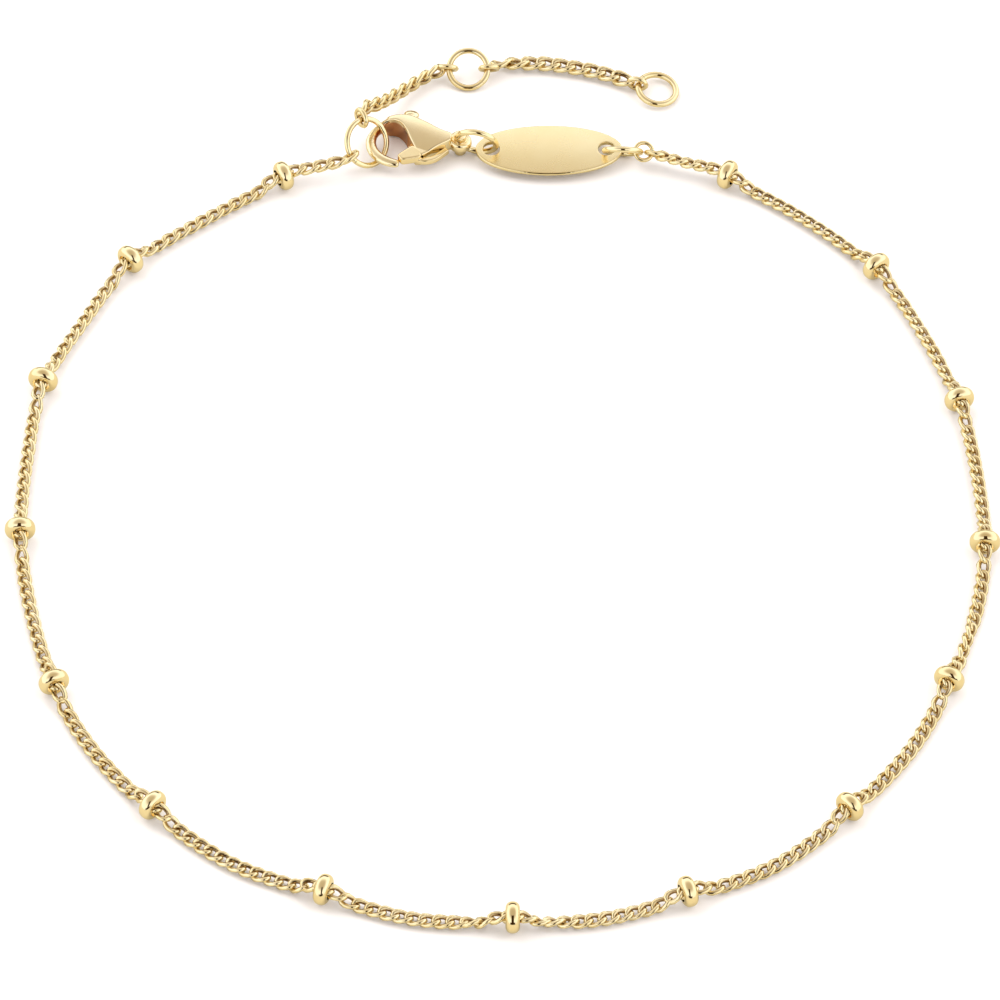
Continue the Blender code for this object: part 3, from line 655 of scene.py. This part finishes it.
def modelBead():
    outer = beadShape["across"] / 2 * mm
    bpy.ops.mesh.primitive_cylinder_add(
        vertices=beadShape["sides"], radius=outer, depth=beadShape["thick"] * mm, end_fill_type="NGON",
        rotation=(0.0, math.radians(90.0), 0.0),
    )
    bead = bpy.context.object
    placeMesh(bead)
    # the two rims are rounded
    enterEdit(bead, "EDGE")
    leaveEdit()
    for edge in bead.data.edges:
        a, b = (bead.data.vertices[k].co for k in edge.vertices)
        edge.select = abs(a.x - b.x) < hair * mm
    bpy.ops.object.mode_set(mode="EDIT")
    bpy.ops.mesh.bevel(
        offset=beadShape["shoulder"] * mm, segments=beadShape["shoulderSteps"], profile=0.5, affect="EDGES"
    )
    leaveEdit()
    # the two flat ends are joined by the bore
    enterEdit(bead, "FACE")
    leaveEdit()
    for face in bead.data.polygons:
        face.select = len(face.vertices) == beadShape["sides"]
    bpy.ops.object.mode_set(mode="EDIT")
    rim = outer - (beadShape["shoulder"] + beadShape["bore"] / 2) * mm
    bpy.ops.mesh.inset(thickness=max(rim, hair * mm), use_even_offset=True)
    bpy.ops.mesh.bridge_edge_loops()
    closeEdit()
    smoothShade(bead, beadShape["smooth"])
    return bead


def addBeads():
    pattern = modelBead()
    for number, station in enumerate(beadStations, 1):
        behind = onLine(chainPath, chainAlong, station - chainLay["slope"][0])
        ahead = onLine(chainPath, chainAlong, station + chainLay["slope"][0])
        place = (behind + ahead) / 2
        place.z = beadShape["across"] / 2 * mm + settled.z
        bead = pattern.copy()
        bead.data = pattern.data.copy()
        bpy.context.collection.objects.link(bead)
        direction = Vector((ahead.x - behind.x, ahead.y - behind.y, 0.0))
        placeMesh(bead, framedAt(place, direction, rough.uniform(0.0, beadShape["roll"])))
        node = f"bead_{number:02d}"
        finishPiece(bead, f"rondelle_{number:02d}", gold["beadGold"], [node])
    bpy.data.objects.remove(pattern, do_unlink=True)


addBeads()
print("beads:", len(beadStations))


# the clasp, from plan outlines about its lever's pivot, as shares of its length and width
claspShape = {
    "pivot": (-5.60, 33.95), "length": 8.0, "width": 4.6, "height": 2.1, "plate": 0.3,
    "edge": 0.12, "edgeSteps": 4, "cornerRounds": (3, 0.22), "voxel": 0.045, "soften": 5, "smooth": 60.0,
    "outline": [
        (-0.405, 0.510), (-0.340, 0.545), (-0.270, 0.560), (-0.175, 0.560), (-0.093, 0.485), (0.010, 0.370),
        (0.119, 0.225), (0.205, 0.160), (0.235, 0.130), (0.235, 0.010), (0.204, -0.045), (0.085, -0.135),
        (-0.040, -0.272), (-0.062, -0.290), (-0.085, -0.270), (-0.122, -0.135), (-0.155, -0.020),
        (-0.182, 0.090), (-0.210, 0.215), (-0.245, 0.325), (-0.287, 0.400), (-0.335, 0.432), (-0.395, 0.428),
    ],
    "slot": [(-0.340, -0.600), (-0.044, -0.600), (-0.044, -0.155), (0.070, -0.085), (0.078, 0.055),
             (0.035, 0.130), (-0.090, 0.130), (-0.340, 0.205)],
    "recess": [(-0.044, -0.600), (0.300, -0.600), (0.300, -0.015), (0.204, -0.015), (0.100, -0.085),
               (-0.044, -0.180)],
    "underCut": [(-0.340, -0.600), (0.000, -0.600), (0.000, -0.170), (-0.150, -0.110), (-0.340, -0.110)],
    "cutFrom": -0.3, "recessTop": 1.02, "underCutTop": 0.31,
    "keel": ((-0.020, 0.0), (0.300, 1.06)), "keelDepth": 2.0,  # where the underside starts to rise, and to what
    # the cheek's top falls away from its spine, and the arm's from a place on toward the hook
    "spine": ((-0.27, 0.43), (0.22, 0.05)), "crown": 0.28, "crownReach": 1.5, "crownMost": 1.2, "crownFrom": 0.4,
    "arm": (-0.300, 0.2), "armFall": 0.10, "armReach": 0.16,
    # the painted shade on the cavity's walls: its middle, how near they are, how far under the top, and how squarely
    # they face in
    "cavity": (-0.330, 0.020), "cavityReach": 2.6, "cavityUnder": (0.30, 0.45), "cavityFacing": (0.35, 0.65),
}
# the hook's stations: plan, width, lowest and highest point in millimetres
hookShape = {"sides": 24}
hookRows = [
    (-0.266, 0.495, 0.56, 0.20, 2.10), (-0.345, 0.487, 0.58, 0.32, 2.12), (-0.425, 0.445, 0.62, 0.46, 2.06),
    (-0.495, 0.358, 0.68, 0.60, 1.92), (-0.543, 0.232, 0.78, 0.69, 1.78), (-0.561, 0.060, 0.86, 0.70, 1.70),
    (-0.533, -0.123, 0.90, 0.70, 1.70), (-0.466, -0.256, 0.88, 0.70, 1.70), (-0.390, -0.335, 0.82, 0.72, 1.68),
    (-0.335, -0.365, 0.76, 0.76, 1.64), (-0.302, -0.376, 0.70, 0.81, 1.59), (-0.286, -0.380, 0.60, 0.88, 1.52),
    (-0.278, -0.382, 0.42, 0.98, 1.42),
]
eyeShape = {
    "centre": (0.312, 0.097), "across": 1.84, "bore": 0.94, "low": 0.68, "high": 1.62,
    "sides": 28, "squared": 0.92, "steps": 48, "boreSides": 40, "merge": 0.001,
}
# the neck's two ends: middle, height, and half its width and thickness
neckShape = {
    "near": ((0.12, 0.065), 1.2, (0.72, 0.62)), "far": ((0.227, 0.097), 1.15, (0.33, 0.34)),
    "edge": 0.16, "edgeSteps": 3,
}
nubShape = {
    "centre": (-0.162, 0.682), "root": (-0.162, 0.462), "across": 0.94, "stem": 0.80, "height": 1.3,
    "spread": 1.3, "sides": 32, "rings": 20,
}
leverShape = {
    "gap": 0.1, "boss": 0.9, "bore": 0.64, "boreSides": 40, "gateHeight": 0.72, "gateEdge": 0.12,
    "gateRounds": (2, 0.12), "webRounds": (1, 0.15), "webInset": 0.1,
    "gate": [(-0.150, -0.060), (-0.300, -0.280), (-0.252, -0.400), (-0.066, -0.335), (-0.060, -0.180)],
    "web": [(-0.150, -0.070), (-0.130, -0.300), (-0.062, -0.300), (-0.060, -0.150), (0.010, -0.080), (0.000, 0.070)],
    "tab": [(-0.105, -0.300), (-0.060, -0.318), (-0.010, -0.322), (0.065, -0.278), (0.130, -0.180), (0.187, -0.085)],
    "tabLow": 0.85, "tabHigh": 1.35, "tabThick": 0.44, "tabEdge": 0.09, "tabSteps": 24,
    "voxel": 0.035, "soften": 3, "smooth": 60.0,
}


def inClasp(x, y):
    return (claspShape["pivot"][0] + x * claspShape["length"], claspShape["pivot"][1] + y * claspShape["width"])


def claspOutline(points):
    return [inClasp(x, y) for x, y in points]


def ovalOutline(x, y, length, width, sides):
    return [(x + length / 2 * math.cos(t), y + width / 2 * math.sin(t))
            for t in np.linspace(0.0, 2 * math.pi, sides, endpoint=False)]


def roundOff(corners, rounds, share):
    # clips every corner of a closed outline, over and over, till it reads as a curve
    points = [Vector(point) for point in corners]
    for _ in range(rounds):
        clipped = []
        for here, there in zip(points, points[1:] + points[:1]):
            clipped += [here.lerp(there, share), here.lerp(there, 1 - share)]
        points = clipped
    return points


def addSlab(outline, low, high, edge=0.0, steps=3):
    # a flat disc drawn out to the outline, raised, and its top and bottom edges rounded
    bpy.ops.mesh.primitive_circle_add(vertices=len(outline), radius=1.0, fill_type="NGON")
    slab = bpy.context.object
    for vertex, point in zip(slab.data.vertices, outline):
        vertex.co = drawn(point[0], point[1], low)
    enterEdit(slab, "FACE")
    bpy.ops.mesh.select_all(action="SELECT")
    bpy.ops.mesh.extrude_region_move(TRANSFORM_OT_translate={"value": (0.0, 0.0, (high - low) * mm)})
    closeEdit()
    if edge:
        for item in slab.data.edges:
            a, b = (slab.data.vertices[k].co.z for k in item.vertices)
            item.select = abs(a - b) < hair * mm
        for face in slab.data.polygons:
            face.select = False
        bpy.ops.object.mode_set(mode="EDIT")
        bpy.ops.mesh.select_mode(type="EDGE")
        bpy.ops.mesh.bevel(offset=edge * mm, segments=steps, profile=0.5, affect="EDGES")
        leaveEdit()
    return slab


def combine(base, other, how="UNION"):
    joining = base.modifiers.new("join", "BOOLEAN")
    joining.operation = how
    joining.solver = "EXACT"
    joining.object = other
    applyModifiers(base)
    bpy.data.objects.remove(other, do_unlink=True)


def cutSlab(base, outline, low, high):
    combine(base, addSlab(outline, low, high), "DIFFERENCE")


def castOver(item, voxel, soften):
    # one skin over all the joined forms, with the soft inner corners of a casting
    skin = item.modifiers.new("skin", "REMESH")
    skin.mode = "VOXEL"
    skin.voxel_size = voxel * mm
    soft = item.modifiers.new("soft", "SMOOTH")
    soft.factor = 0.5
    soft.iterations = soften
    applyModifiers(item)


def addHook():
    # a disc drawn along the hook's stations by extruding it from one to the next
    centres = [drawn(*inClasp(x, y), (low + high) / 2) for x, y, _, low, high in hookRows]
    frames = []
    for i, (_, _, wide, low, high) in enumerate(hookRows):
        along = centres[min(i + 1, len(centres) - 1)] - centres[max(i - 1, 0)]
        along.z = 0.0
        along.normalize()
        out = Vector((along.y, -along.x, 0.0))
        turn = Matrix((out * wide / 2, Vector((0.0, 0.0, (high - low) / 2)), along)).transposed().to_4x4()
        frames.append(Matrix.Translation(centres[i]) @ turn)
    bpy.ops.mesh.primitive_circle_add(vertices=hookShape["sides"], radius=mm, fill_type="NGON")
    hook = bpy.context.object
    for vertex in hook.data.vertices:
        vertex.co = frames[0] @ vertex.co
    enterEdit(hook, "FACE")
    bpy.ops.mesh.select_all(action="SELECT")
    for before, after in zip(frames, frames[1:]):
        bpy.ops.mesh.extrude_region_move(TRANSFORM_OT_translate={"value": (0.0, 0.0, 0.0)})
        leaveEdit()
        move = after @ before.inverted()
        for vertex in hook.data.vertices:
            if vertex.select:
                vertex.co = move @ vertex.co
        bpy.ops.object.mode_set(mode="EDIT")
    closeEdit()
    rounder = hook.modifiers.new("rounder", "SUBSURF")
    rounder.levels = rounder.render_levels = 1
    applyModifiers(hook)
    return hook


def addEye():
    # the band's section, a squared round, spun about the eye's middle
    outer, bore = eyeShape["across"] / 2, eyeShape["bore"] / 2
    middle = drawn(*inClasp(*eyeShape["centre"]), (eyeShape["low"] + eyeShape["high"]) / 2)
    bpy.ops.mesh.primitive_circle_add(vertices=eyeShape["sides"], radius=1.0)
    band = bpy.context.object
    for vertex in band.data.vertices:
        u, v = (math.copysign(abs(part) ** eyeShape["squared"], part) for part in vertex.co[:2])
        reach = (outer + bore) / 2 + (outer - bore) / 2 * u
        vertex.co = middle + Vector((reach, 0.0, (eyeShape["high"] - eyeShape["low"]) / 2 * v)) * mm
    enterEdit(band)
    bpy.ops.mesh.select_all(action="SELECT")
    bpy.ops.mesh.spin(steps=eyeShape["steps"], angle=2 * math.pi, center=middle, axis=(0.0, 0.0, 1.0))
    closeEdit(eyeShape["merge"])
    return band


def addNub():
    # a stem with a knob on its end, both drawn out sideways
    nubAt = drawn(*inClasp(*nubShape["centre"]), nubShape["height"])
    rootAt = drawn(*inClasp(*nubShape["root"]), nubShape["height"])
    bpy.ops.mesh.primitive_cylinder_add(
        vertices=nubShape["sides"], radius=nubShape["stem"] / 2 * mm, depth=(nubAt - rootAt).length,
        location=(nubAt + rootAt) / 2, rotation=(math.radians(90.0), 0.0, 0.0),
    )
    stem = bpy.context.object
    placeMesh(stem)
    bpy.ops.mesh.primitive_uv_sphere_add(
        segments=nubShape["sides"], ring_count=nubShape["rings"], radius=nubShape["across"] / 2 * mm, location=nubAt,
    )
    knob = bpy.context.object
    placeMesh(knob)
    combine(stem, knob)
    for vertex in stem.data.vertices:
        vertex.co.x = nubAt.x + (vertex.co.x - nubAt.x) * nubShape["spread"]
    return stem


def addNeck():
    # the taper between the body and its eye
    bpy.ops.mesh.primitive_cube_add(size=1.0)
    neck = bpy.context.object
    for vertex in neck.data.vertices:
        middle, height, half = neckShape["far" if vertex.co.x > 0 else "near"]
        side, up = (math.copysign(size, part) for size, part in zip(half, vertex.co[1:]))
        vertex.co = drawn(*inClasp(*middle), height) + Vector((0.0, side, up)) * mm
    enterEdit(neck, "EDGE")
    bpy.ops.mesh.select_all(action="SELECT")
    bpy.ops.mesh.bevel(offset=neckShape["edge"] * mm, segments=neckShape["edgeSteps"], affect="EDGES")
    leaveEdit()
    return neck


def addKeel():
    # a wedge that is cut from the underside, which rises toward the eye
    (nearX, nearZ), (farX, farZ) = claspShape["keel"]
    depth = claspShape["keelDepth"]
    keel = addSlab(claspOutline([(nearX, -1.0), (farX, -1.0), (farX, 1.0), (nearX, 1.0)]), -depth, nearZ)
    middle = drawn(*inClasp((nearX + farX) / 2, 0.0), -depth / 2)
    for vertex in keel.data.vertices:
        if vertex.co.z > middle.z and vertex.co.x > middle.x:
            vertex.co.z += (farZ - nearZ) * mm
    return keel


def crownCheek(body):
    start, end = (drawn(*inClasp(*point)) for point in claspShape["spine"])
    spine, length = (end - start).normalized(), (end - start).length
    arm = drawn(*inClasp(*claspShape["arm"]))
    for vertex in body.data.vertices:
        level = (vertex.co.z - settled.z) / (claspShape["height"] * mm)
        high = max(level - claspShape["crownFrom"], 0.0) / (1 - claspShape["crownFrom"])
        away = vertex.co - start
        away.z = 0.0
        away -= spine * min(max(away.dot(spine), 0.0), length)
        far = min(away.length / (claspShape["crownReach"] * mm), claspShape["crownMost"])
        vertex.co.z -= claspShape["crown"] * mm * far ** 2 * high
        past = (arm.x - vertex.co.x) / (claspShape["length"] * mm)
        if past > 0 and vertex.co.y > arm.y:
            vertex.co.z -= claspShape["armFall"] * mm * min(past / claspShape["armReach"], 1.0) ** 2 * high


def shadeCavity(body):
    # painted shade: how far each point looks into the cavity between the cheek and the hook, 0 to 1
    middle = drawn(*inClasp(*claspShape["cavity"]))
    top = drawn(0.0, 0.0, claspShape["height"]).z
    underFrom, underTo = claspShape["cavityUnder"]
    facingFrom, facingTo = claspShape["cavityFacing"]
    levels = []
    for vertex in body.data.vertices:
        inward = middle - vertex.co
        inward.z = 0.0
        near = inward.length < claspShape["cavityReach"] * mm
        facing = inward.normalized().dot(vertex.normal) if near else 0.0
        under = clamp(((top - vertex.co.z) / mm - underFrom) / (underTo - underFrom))
        levels.append(clamp((facing - facingFrom) / (facingTo - facingFrom)) * under)
    # the painted shade on the cavity walls, for the finish to read
    addValues(body, "cavityShade", levels)


def addClaspBody():
    outline = roundOff(claspOutline(claspShape["outline"]), *claspShape["cornerRounds"])
    height, plate, cutFrom = claspShape["height"], claspShape["plate"], claspShape["cutFrom"]
    body = addSlab(outline, 0.0, height, claspShape["edge"], claspShape["edgeSteps"])
    cutSlab(body, claspOutline(claspShape["slot"]), plate, height - plate)
    cutSlab(body, claspOutline(claspShape["recess"]), cutFrom, claspShape["recessTop"])
    cutSlab(body, claspOutline(claspShape["underCut"]), cutFrom, claspShape["underCutTop"])
    combine(body, addKeel(), "DIFFERENCE")
    for piece in (addHook(), addNeck(), addEye(), addNub()):
        combine(body, piece)
    bore = eyeShape["bore"]
    cutSlab(body, ovalOutline(*inClasp(*eyeShape["centre"]), bore, bore, eyeShape["boreSides"]), 0.0, height)
    castOver(body, claspShape["voxel"], claspShape["soften"])
    crownCheek(body)
    shadeCavity(body)
    smoothShade(body, claspShape["smooth"])
    finishPiece(body, "clasp_shell", gold["claspGold"], ["clasp_body"])


def addTab():
    # a strip along the tab's own line
    line, _ = smoothLine([(*inClasp(x, y), 0.0) for x, y in leverShape["tab"]], leverShape["tabSteps"])
    half = leverShape["tabThick"] / 2
    near, far = [], []
    for i, (x, y, _) in enumerate(line):
        ahead = line[min(i + 1, len(line) - 1)] - line[max(i - 1, 0)]
        ahead = ahead / np.linalg.norm(ahead)
        near.append((x + ahead[1] * half, y - ahead[0] * half))
        far.append((x - ahead[1] * half, y + ahead[0] * half))
    return addSlab(near + far[::-1], leverShape["tabLow"], leverShape["tabHigh"], leverShape["tabEdge"])


def addLever():
    low = claspShape["plate"] + leverShape["gap"]
    high = claspShape["height"] - low
    boss, bore, sides = leverShape["boss"], leverShape["bore"], leverShape["boreSides"]
    lever = addSlab(ovalOutline(*claspShape["pivot"], boss, boss, sides), low, high)
    gate = roundOff(claspOutline(leverShape["gate"]), *leverShape["gateRounds"])
    combine(lever, addSlab(gate, high - leverShape["gateHeight"], high, leverShape["gateEdge"]))
    web = roundOff(claspOutline(leverShape["web"]), *leverShape["webRounds"])
    combine(lever, addSlab(web, low + leverShape["webInset"], high - leverShape["webInset"]))
    combine(lever, addTab())
    cutSlab(lever, ovalOutline(*claspShape["pivot"], bore, bore, sides), 0.0, claspShape["height"])
    castOver(lever, leverShape["voxel"], leverShape["soften"])
    smoothShade(lever, leverShape["smooth"])
    finishPiece(lever, "thumb_lever", gold["leverGold"], ["clasp_lever"], body="clasp_lever")


addClaspBody()
addLever()
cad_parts["clasp_pin"].data.materials.clear()
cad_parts["clasp_pin"].data.materials.append(gold["leverGold"])
print("clasp body and lever modelled")


# the oval tag: a disc drawn out to an oval, its rim rolled over, and a hole drilled near each end
tagShape = {
    "nearHole": (-0.67, 33.80), "length": 11.4, "width": 5.0, "inset": 1.23, "hole": 1.36, "low": 0.66, "thick": 0.40,
    "rim": 0.10, "rimSteps": 4, "sides": 128, "holeSides": 64, "drill": 1.0,  # how far the drill reaches past the tag
    "crown": 0.12, "voxel": 0.05, "soften": 2, "smooth": 60.0,
}


def addTag():
    firstX, y = tagShape["nearHole"]
    length, width, hole = tagShape["length"], tagShape["width"], tagShape["hole"]
    apart = length - 2 * tagShape["inset"]
    low, high = tagShape["low"], tagShape["low"] + tagShape["thick"]
    outline = ovalOutline(firstX + apart / 2, y, length, width, tagShape["sides"])
    tag = addSlab(outline, low, high, tagShape["rim"], tagShape["rimSteps"])
    for x in (firstX, firstX + apart):
        bore = ovalOutline(x, y, hole, hole, tagShape["holeSides"])
        cutSlab(tag, bore, low - tagShape["drill"], high + tagShape["drill"])
    castOver(tag, tagShape["voxel"], tagShape["soften"])
    # the face is crowned across its width, as a stamped plate comes off the press
    middle = drawn(firstX + apart / 2, y, (low + high) / 2)
    for vertex in tag.data.vertices:
        across = (vertex.co.y - middle.y) / (width / 2 * mm)
        if vertex.co.z > middle.z:
            vertex.co.z -= tagShape["crown"] * mm * across * across
    smoothShade(tag, tagShape["smooth"])
    finishPiece(tag, "oval_tag", gold["tagGold"], ["tag"])


addTag()
print("tag modelled")


# floor, light and surroundings
studio = {
    # the paper as it is seen, and a darker colour painted on it for glossy rays only: a painted shade in the metal's
    # reflection of the paper, which stands for the anklet's own shade falling on it
    "floor": (0.97, 0.925, 0.905), "floorInMetal": (0.69, 0.655, 0.53), "floorSize": 4.0,
    "floorRoughness": 0.9, "floorSpecular": 0.05,
    # soft panels: place, size and watts, each aimed at the middle of the anklet
    "panels": [((-0.30, 0.25, 0.60), (0.60, 0.60), 2.3), ((0.40, 0.00, 0.55), (0.40, 0.60), 1.6)],
    # height above the horizon as a sine, and the room's light there
    "sky": [(0.0, (1.40, 1.47, 1.58)), (0.55, (1.40, 1.47, 1.58)), (0.70, (1.17, 1.20, 1.25)),
            (0.80, (0.88, 0.85, 0.81)), (0.90, (0.70, 0.63, 0.55)), (1.0, (0.64, 0.57, 0.47))],
    "dark": (0.05, 0.026, 0.008),  # the room's own shade, in the belt and the stripe
    "belt": {"top": (0.20, 0.31), "ends": (0.34, 0.60)},  # how high and how far to the side it reaches, as sines
    "front": (0.92, 0.92, 0.92), "frontFade": (0.1, -0.4),  # the dimmer room in front, and where it fades in
    "backdrop": (1.0, 1.0, 1.0),
    # the dark stripe in front: half its width, its soft edge and its top as sines, and where it fades in
    "darkStripe": {"half": 0.16, "soft": 0.06, "top": 0.90, "fade": (0.0, -0.2)},
}


def addFloor():
    bpy.ops.mesh.primitive_plane_add(size=studio["floorSize"], location=(0.0, 0.0, 0.0))
    floor = bpy.context.object
    floor.name = "floor"
    paper = bpy.data.materials.new("floorPaper")
    paper.use_nodes = True
    tree = paper.node_tree
    shader = tree.nodes["Principled BSDF"]
    shader.inputs["Roughness"].default_value = studio["floorRoughness"]
    shader.inputs["Specular IOR Level"].default_value = studio["floorSpecular"]
    path = addNode(tree, "ShaderNodeLightPath")
    # painted reflection: glossy rays see the paper in the darker floorInMetal colour, a painted shade
    seen = addMix(tree, path.outputs["Is Glossy Ray"], studio["floor"], studio["floorInMetal"])
    tree.links.new(seen, shader.inputs["Base Color"])
    floor.data.materials.append(paper)


def addPanels():
    for number, (place, size, watts) in enumerate(studio["panels"], 1):
        bpy.ops.object.light_add(type="AREA", location=place)
        panel = bpy.context.object
        panel.name = f"panel_{number}"
        panel.data.shape = "RECTANGLE"
        panel.data.size, panel.data.size_y = size
        panel.data.energy = watts
        panel.rotation_euler = (-Vector(place)).to_track_quat("-Z", "Y").to_euler()
        panel.visible_glossy = False


def addRoom():
    world = bpy.data.worlds.new("studioRoom")
    bpy.context.scene.world = world
    world.use_nodes = True
    tree = world.node_tree
    place = addNode(tree, "ShaderNodeTexCoord")
    split = addNode(tree, "ShaderNodeSeparateXYZ")
    tree.links.new(place.outputs["Generated"], split.inputs["Vector"])
    x, y, z = (split.outputs[axis] for axis in "XYZ")
    ramp = addNode(tree, "ShaderNodeValToRGB")
    ramp.color_ramp.interpolation = "EASE"
    stops = ramp.color_ramp.elements
    while len(stops) < len(studio["sky"]):
        stops.new(0.5)
    for stop, (where, level) in zip(stops, studio["sky"]):
        stop.position = where
        stop.color = (*level, 1.0)
    tree.links.new(z, ramp.inputs["Fac"])
    room = addMix(tree, addMask(tree, y, *studio["frontFade"]), ramp.outputs["Color"], studio["front"], "MULTIPLY")
    side = addMath(tree, "ABSOLUTE", x)
    (gone, full), (inner, outer) = studio["belt"]["top"], studio["belt"]["ends"]
    belt = addMath(tree, "MULTIPLY", addMask(tree, z, full, gone), addMask(tree, side, outer, inner))
    room = addMix(tree, belt, room, studio["dark"])
    # a dark upright stripe in front, which polished metal shows as a thin dark mark
    stripe = studio["darkStripe"]
    across = addMask(tree, side, stripe["half"] + stripe["soft"], stripe["half"])
    ahead = addMask(tree, y, *stripe["fade"])
    under = addMask(tree, z, stripe["top"] + stripe["soft"], stripe["top"])
    shape = addMath(tree, "MULTIPLY", addMath(tree, "MULTIPLY", across, ahead), under)
    room = addMix(tree, shape, room, studio["dark"])
    path = addNode(tree, "ShaderNodeLightPath")
    shown = addMix(tree, path.outputs["Is Camera Ray"], room, studio["backdrop"])
    tree.links.new(shown, tree.nodes["Background"].inputs["Color"])


def addStudio():
    addFloor()
    addPanels()
    addRoom()
    bpy.context.scene.view_settings.view_transform = "Standard"


addStudio()
print("studio ready")
